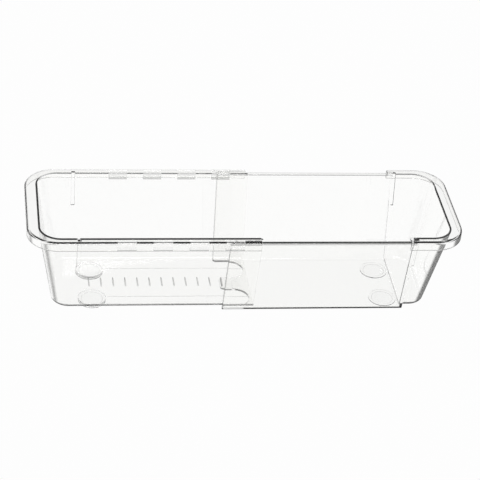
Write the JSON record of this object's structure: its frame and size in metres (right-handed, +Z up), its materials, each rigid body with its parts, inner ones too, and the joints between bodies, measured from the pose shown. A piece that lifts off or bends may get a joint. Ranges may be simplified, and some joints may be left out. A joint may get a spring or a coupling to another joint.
{
  "type": "extending drawer organizer",
  "caption": "Clear extending drawer organizer: an open tray with a channel rim slides in a wider open tray, on clear pads.",
  "frame": {"origin": "on the ground, under the middle of the organizer as it is drawn out in the picture", "axes": "+X along the slide, to the right; +Y to the back; +Z up"},
  "size_m": [0.35, 0.11, 0.08],
  "materials": {
    "clear_plastic": "clear, colourless, polished polystyrene",
    "clear_pad": "clear soft silicone, satin"
  },
  "bodies": {
    "outer_tray": {"outer_tray": "clear_plastic", "foot_right_front": "clear_pad", "foot_right_back": "clear_pad"},
    "inner_tray": {"inner_tray": "clear_plastic", "foot_left_front": "clear_pad", "foot_left_back": "clear_pad"}
  },
  "joints": [
    {"name": "tray_slide", "type": "slide", "parent": "outer_tray", "child": "inner_tray", "axis": [1, 0, 0], "range_m": [0, 0.117]}
  ]
}
